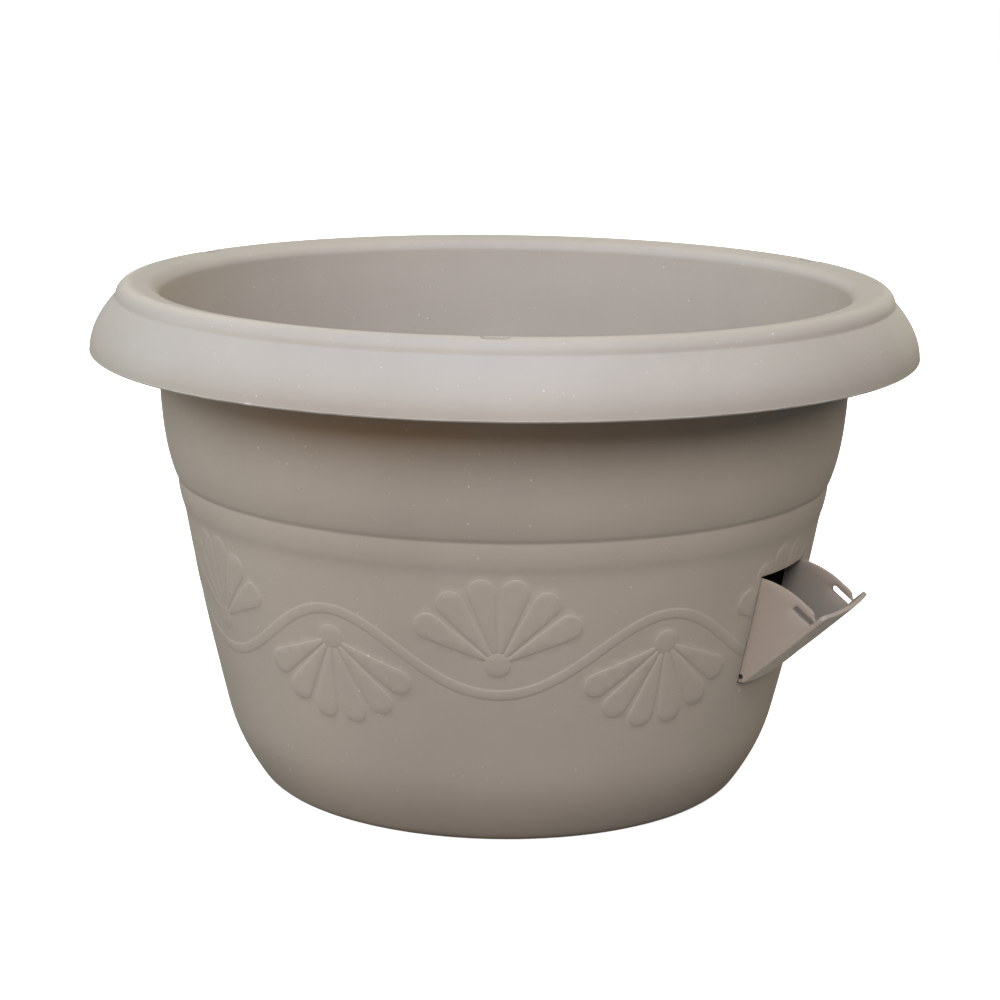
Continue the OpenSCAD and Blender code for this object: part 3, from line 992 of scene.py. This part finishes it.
def rim_highlight_and_nick(mat, colour):
    """A painted highlight line along the lower edge of the rim, with a nick left of the front."""
    # the pale line is painted highlight where light catches the rim's lower edge; the nick is a
    # real chip
    highlight_tint, chipped = (0.70, 0.68, 0.65), (0.78, 0.76, 0.72)
    line_base, line_top, line_radius = 0.158, 1.12, 0.1493    # m, mm above the base, m
    nick_place = (-0.0795, -0.1270, 0.4761)                   # m, with z tripled
    nick_size, nick_ragged = 0.0030, 0.0022                   # m

    position = mat.node("ShaderNodeSeparateXYZ")
    mat.link(mat.coords, position.inputs[0])
    flat = mat.vector("MULTIPLY", mat.coords, (1, 1, 0))
    radius = mat.vector("LENGTH", flat.outputs[0])
    above = mat.times(mat.math("SUBTRACT", position.outputs[2], line_base), 1000)
    line = mat.ramp(above, start=0.2, end=0.45)
    line = mat.times(line, mat.math("LESS_THAN", above, line_top))
    line = mat.times(line, mat.math("GREATER_THAN", radius.outputs["Value"], line_radius))
    # noise breaks up the painted highlight line
    highlight_breakup = mat.ramp(mat.noise(scale=75, detail=5, rough=0.65), start=0.36, end=0.58, low=0.35)
    colour = mat.tint(colour, line, strength=mat.times(highlight_breakup, 0.8), colour=highlight_tint)

    tall = mat.vector("MULTIPLY", mat.coords, (1, 1, 3))
    nick = mat.vector("DISTANCE", tall.outputs[0], nick_place)
    ragged = mat.times(mat.noise(scale=700, detail=3, rough=0.6), nick_ragged)
    chip = mat.math("LESS_THAN", mat.math("ADD", nick.outputs["Value"], ragged), nick_size)
    return mat.tint(colour, chip, strength=0.6, colour=chipped)


def taupe(name, base, bowl):
    """Taupe plastic; on the bowl it also has light specks, a nick in the rim and a painted
    highlight along the rim's lower edge.
    """
    mat = Mat(name)
    cloud = mat.ramp(mat.noise(scale=9, detail=5, rough=0.6), start=0.35, end=0.68)
    colour = mat.mix(cloud, shade(base, 0.93), shade(base, 1.06))
    # warm drift of the pigment
    warm = (base[0] * 1.03, base[1] * 0.985, base[2] * 0.98)
    drift = mat.ramp(mat.noise(scale=4.2, detail=3, rough=0.5), start=0.4, end=0.7, high=0.35)
    colour = mat.mix(drift, colour, warm)
    # flow lines left by the moulding, running up the wall
    flow = mat.noise(scale=26, detail=5, rough=0.65, stretch=(1.0, 1.0, 0.10), distort=0.4)
    colour = mat.tint(colour, mat.ramp(flow, start=0.42, end=0.62), strength=0.09,
                      colour=shade(base, 1.18))
    scuff = mat.noise(scale=60, detail=8, rough=0.7, stretch=(1.0, 0.35, 1.6), distort=1.2)
    colour = mat.tint(colour, mat.ramp(scuff, start=0.63, end=0.70), strength=0.10,
                      colour=shade(base, 1.3))
    if bowl:
        dust = mat.math("MAXIMUM", mat.specks(scale=300, share=0.042, size=0.11),
                        mat.specks(scale=150, share=0.012, size=0.055))
        dust = mat.math("MAXIMUM", dust, mat.specks(scale=620, share=0.08, size=0.13))
        colour = mat.tint(colour, dust, strength=0.55, colour=(0.72, 0.70, 0.67))
        # painted highlight along the rim's lower edge, and a chipped nick
        colour = rim_highlight_and_nick(mat, colour)
    grain = mat.noise(scale=2600, detail=3, rough=0.6)
    rough = mat.spread(mat.noise(scale=35, detail=4, rough=0.6), span=0.16, base=0.44)
    rough = mat.math("ADD", rough, mat.times(grain, 0.08))
    normal = mat.bump(grain, strength=0.35, distance=0.00006)
    normal = mat.bump(mat.noise(scale=180, detail=4, rough=0.6), strength=0.25,
                      distance=0.00012, normal=normal)
    mat.set(Base_Color=colour, Roughness=rough, Specular_IOR_Level=0.42, Normal=normal)
    return mat.material


def recycled(name):
    """Dark plastic of the insert."""
    mat = Mat(name)
    cloud = mat.ramp(mat.noise(scale=14, detail=6, rough=0.65), start=0.38, end=0.66)
    colour = mat.mix(cloud, (0.030, 0.031, 0.031), (0.050, 0.050, 0.049))
    colour = mat.tint(colour, mat.specks(scale=420, share=0.06, size=0.16), strength=0.5,
                      colour=(0.14, 0.14, 0.13))
    scuff = mat.noise(scale=85, detail=8, rough=0.72, stretch=(1, 0.3, 1.5), distort=1.0)
    colour = mat.tint(colour, mat.ramp(scuff, start=0.60, end=0.72), strength=0.35,
                      colour=(0.12, 0.12, 0.115))
    rough = mat.spread(mat.noise(scale=40, detail=5, rough=0.6), span=0.25, base=0.38)
    normal = mat.bump(mat.noise(scale=1800, detail=3, rough=0.6), strength=0.4,
                      distance=0.00008)
    mat.set(Base_Color=colour, Roughness=rough, Normal=normal)
    return mat.material


def pin_plastic(name):
    mat = Mat(name)
    colour = mat.mix(mat.noise(scale=300), (0.022, 0.021, 0.020), (0.045, 0.043, 0.04))
    rough = mat.spread(mat.noise(scale=900, detail=3), span=0.2, base=0.35)
    normal = mat.bump(mat.noise(scale=3000, detail=2), strength=0.3, distance=0.00004)
    mat.set(Base_Color=colour, Roughness=rough, Normal=normal)
    return mat.material


def felt(name):
    mat = Mat(name)
    fibres = mat.noise(scale=900, detail=6, rough=0.8, distort=2.5)
    fine = mat.noise(scale=2400, detail=4, rough=0.8, stretch=(1, 1, 0.25), distort=3.0)
    colour = mat.mix(mat.ramp(fibres, start=0.3, end=0.7), (0.52, 0.50, 0.45),
                     (0.74, 0.72, 0.66))
    stain = mat.ramp(mat.noise(scale=45), start=0.45, end=0.75)
    colour = mat.tint(colour, stain, strength=0.25, colour=(0.47, 0.44, 0.38))
    height = mat.math("ADD", mat.times(fibres, 0.6), mat.times(fine, 0.4))
    mat.set(Base_Color=colour, Roughness=0.95, Sheen_Weight=0.35, Sheen_Roughness=0.6,
            Normal=mat.bump(height, strength=0.9, distance=0.00035))
    return mat.material


# ---------------------------------------------------------------- parts
def install(part, material, node, rides):
    part.data.materials.clear()
    part.data.materials.append(material)
    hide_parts(node)
    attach(part, rides)
    return part


install(build_bowl(), taupe("taupe_plastic", (0.405, 0.358, 0.318), bowl=True),
        "pot_shell", "bowl")
# the flap gets a darker copy of the bowl's taupe: painted shade that makes the flap render darker
flap = install(build_flap(), taupe("taupe_plastic_flap_painted_shade", (0.352, 0.298, 0.262), bowl=False),
               "filler_flap", "flap")

wick_material = felt("wick_felt")
for name, node, sign in (("wick_left_felt", "capillary_wick_left", -1),
                         ("wick_right_felt", "capillary_wick_right", 1)):
    install(build_wick(name, node, sign), wick_material, node, "bowl")

insert_material, pin_material = recycled("insert_plastic"), pin_plastic("pin_plastic")
for node, material in (("reservoir_plate", insert_material), ("filler_guard", insert_material),
                       ("hinge_pin_left", pin_material), ("hinge_pin_right", pin_material)):
    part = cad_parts[node]
    if not part.material_slots:
        part.data.materials.append(material)
    for slot in part.material_slots:
        slot.material = material

# ---------------------------------------------------------------- floor
FLOOR_R, FLOOR_SIDES, FLOOR_DROP = 30, 48, 0.0002
FADE_START, FADE_RATE, FADE_SOFT = 0.35, 1.6, 0.2   # distance and pace of the fade to white
FLOOR_GLOW = 0.7
FLOOR_BOUNCE = (0.16, 0.16, 0.15)                   # what the floor throws back at the bowl


def floor_material():
    """White to the camera, with a soft contact shadow, and an even white backdrop far out.
    Other rays meet a dull grey that throws little light back."""
    mat = Mat("floor_white")
    distance = mat.vector("LENGTH", mat.coords).outputs["Value"]
    fade = mat.times(mat.math("SUBTRACT", distance, FADE_START), FADE_RATE)
    far = mat.math("SMOOTH_MIN", 1.0, fade, FADE_SOFT, clamp=True)
    colour = mat.ramp(mat.noise(scale=9, detail=3, rough=0.5), start=0.3, end=0.7, low=0.985)
    mat.set(Base_Color=colour, Roughness=0.9, Specular_IOR_Level=0.0,
            Emission_Color=(1, 1, 1),
            Emission_Strength=mat.math("ADD", far, FLOOR_GLOW, clamp=True))
    dull = mat.node("ShaderNodeBsdfDiffuse")
    mat.feed(dull.inputs[0], FLOOR_BOUNCE)
    glow = mat.node("ShaderNodeEmission", name="bounce")
    mat.feed(glow.inputs[0], (1, 1, 1))
    mat.feed(glow.inputs[1], 0)
    both = mat.node("ShaderNodeAddShader")
    mat.link(dull.outputs[0], both.inputs[0])
    mat.link(glow.outputs[0], both.inputs[1])
    path = mat.node("ShaderNodeLightPath")
    switch = mat.node("ShaderNodeMixShader")
    mat.link(path.outputs["Is Camera Ray"], switch.inputs[0])
    mat.link(both.outputs[0], switch.inputs[1])
    mat.link(mat.shader.outputs[0], switch.inputs[2])
    mat.link(switch.outputs[0], mat.output.inputs[0])
    return mat.material


def build_floor():
    verts = [(0, 0, 0)]
    for i in range(FLOOR_SIDES):
        t = 2 * math.pi * i / FLOOR_SIDES
        verts.append((FLOOR_R * math.cos(t), FLOOR_R * math.sin(t), 0))
    faces = [(0, 1 + i, 1 + (i + 1) % FLOOR_SIDES) for i in range(FLOOR_SIDES)]
    mesh = bpy.data.meshes.new("floor")
    mesh.from_pydata(verts, [], faces)
    floor = bpy.data.objects.new("floor", mesh)
    bpy.context.scene.collection.objects.link(floor)
    floor.location.z = -FLOOR_DROP
    floor.data.materials.append(floor_material())


# ---------------------------------------------------------------- world and lights
AIM = (0, 0, 0.1)                          # what the soft boxes and the camera point at
BOX_DISTANCE, BOX_SIZE = 2.2, 1.1
# name, azimuth from the camera's side towards +X, elevation (degrees), watts by channel
SOFT_BOXES = (
    ("left_low", -105, 12, (11.4, 13.4, 13.3)),
    ("back_left", -150, 35, (10.8, 10.1, 7.6)),
    ("front_low", -30, 12, (6.3, 2.7, 0.1)),
    ("front_left", -30, 35, (12.9, 14.0, 14.6)),
    ("left", -65, 35, (13.8, 13.9, 13.5)),
    ("front", 0, 35, (20.4, 22.4, 23.6)),
    ("high", 0, 74, (3.9, 9.0, 18.3)),
    ("back_right", 150, 12, (6.3, 6.5, 5.45)),
    ("back_high", 150, 58, (12.4, 9.8, 3.3)),
    ("right", 65, 35, (20.2, 18.1, 15.25)),
)


def build_world():
    """Faint light on the parts, plain white to the camera."""
    world = bpy.data.worlds.new("studio")
    bpy.context.scene.world = world
    world.use_nodes = True
    nodes, links = world.node_tree.nodes, world.node_tree.links
    nodes.clear()
    output = nodes.new("ShaderNodeOutputWorld")
    switch = nodes.new("ShaderNodeMixShader")
    for index, colour, strength in ((1, (1.0, 0.995, 0.985, 1), 0.004), (2, (1, 1, 1, 1), 1.0)):
        background = nodes.new("ShaderNodeBackground")
        background.inputs[0].default_value = colour
        background.inputs[1].default_value = strength
        links.new(background.outputs[0], switch.inputs[index])
    path = nodes.new("ShaderNodeLightPath")
    links.new(path.outputs["Is Camera Ray"], switch.inputs[0])
    links.new(switch.outputs[0], output.inputs[0])


def around_aim(distance, azimuth, elevation):
    """A point round the aim, its angles in degrees; azimuth runs from -Y towards +X."""
    azimuth, elevation = math.radians(azimuth), math.radians(elevation)
    return (distance * math.cos(elevation) * math.sin(azimuth),
            -distance * math.cos(elevation) * math.cos(azimuth),
            AIM[2] + distance * math.sin(elevation))


def area(name, location, target, size, power, colour):
    light = bpy.data.lights.new(name, "AREA")
    light.shape = "RECTANGLE"
    light.size = light.size_y = size
    light.energy = power
    light.color = colour
    lamp = bpy.data.objects.new(name, light)
    bpy.context.scene.collection.objects.link(lamp)
    lamp.location = location
    direction = Vector(target) - Vector(location)
    lamp.rotation_euler = direction.to_track_quat("-Z", "Y").to_euler()
    return lamp


def build_lights():
    for name, azimuth, elevation, watts in SOFT_BOXES:
        most = max(watts)
        area(name, around_aim(BOX_DISTANCE, azimuth, elevation), AIM, size=BOX_SIZE,
             power=most, colour=tuple(channel / most for channel in watts))
    # what the floor throws back at the underside of the open flap, and at nothing else
    card = area("under_flap", location=(0.150, -0.087, 0.002), target=(0.150, -0.087, 0.08),
                size=0.13, power=0.032, colour=(0.97, 1.0, 0.92))
    card.visible_camera = False
    only = bpy.data.collections.new("flap_only")
    bpy.context.scene.collection.children.link(only)
    only.objects.link(flap)
    card.light_linking.receiver_collection = only


# ---------------------------------------------------------------- camera
CAMERA_DISTANCE, CAMERA_AZIMUTH, CAMERA_ELEVATION = 0.905, 0.5, 12.87
CAMERA_ROLL = math.radians(0.747)
SENSOR_WIDTH, LENS = 36, 87.732            # mm
CAMERA_SHIFT = (-0.0027, 0.0004)


def build_camera():
    data = bpy.data.cameras.new("camera")
    camera = bpy.data.objects.new("camera", data)
    bpy.context.scene.collection.objects.link(camera)
    bpy.context.scene.camera = camera
    place = Vector(around_aim(CAMERA_DISTANCE, CAMERA_AZIMUTH, CAMERA_ELEVATION))
    forward = (Vector(AIM) - place).normalized()
    right = forward.cross(Vector((0, 0, 1))).normalized()
    up = right.cross(forward)
    cosine, sine = math.cos(CAMERA_ROLL), math.sin(CAMERA_ROLL)
    axes = (right * cosine + up * sine, -right * sine + up * cosine, -forward)
    matrix = Matrix(axes).transposed().to_4x4()
    matrix.translation = place
    camera.matrix_world = matrix
    data.sensor_width = SENSOR_WIDTH
    data.lens = LENS
    data.shift_x, data.shift_y = CAMERA_SHIFT
    data.clip_start, data.clip_end = 0.01, 100


build_floor()
build_world()
build_lights()
build_camera()
bpy.context.scene.view_settings.view_transform = "Standard"
bpy.context.scene.view_settings.look = "None"
